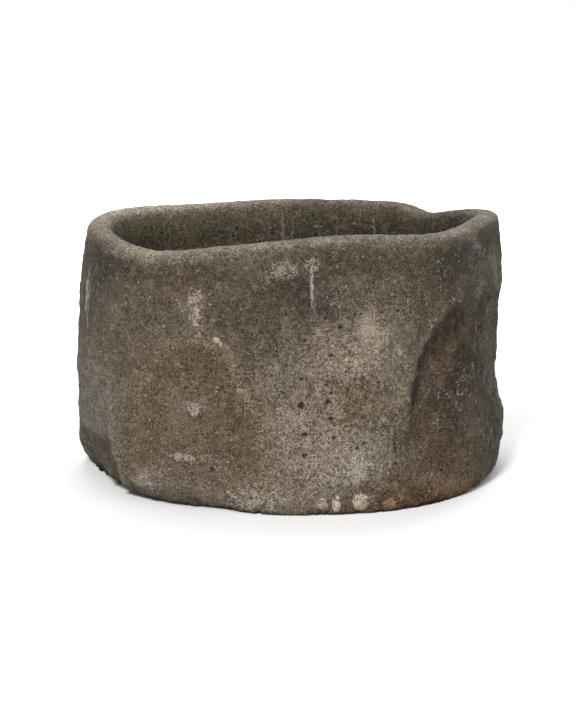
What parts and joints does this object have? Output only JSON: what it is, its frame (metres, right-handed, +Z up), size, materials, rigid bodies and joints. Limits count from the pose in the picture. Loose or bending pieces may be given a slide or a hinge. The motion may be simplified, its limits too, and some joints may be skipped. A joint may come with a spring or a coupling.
{
  "type": "stone mortar and pestle",
  "caption": "Deep legless stone mortar with an uneven rounded rim, a flat base and a struck scar, and a loose stone pestle standing in its hollow.",
  "frame": {"origin": "middle of the flat base, on the surface the bowl stands on", "axes": "+Z up; +X to the pinched corner of the rim, the bowl's long way; +Y to the wall with the pushed-in notch; -Y is the side with the long scar"},
  "size_m": [0.3016, 0.2693, 0.1815],
  "materials": {
    "bowl_stone": "matte",
    "pestle_stone": "matte"
  },
  "bodies": {
    "bowl": {"bowl": "bowl_stone"},
    "tejolote": {"tejolote": "pestle_stone"}
  },
  "joints": [
    {"name": "tejolote_lift", "type": "slide", "parent": "bowl", "child": "tejolote", "axis": [0, 0, 1], "range_m": [0, 0.2]}
  ]
}
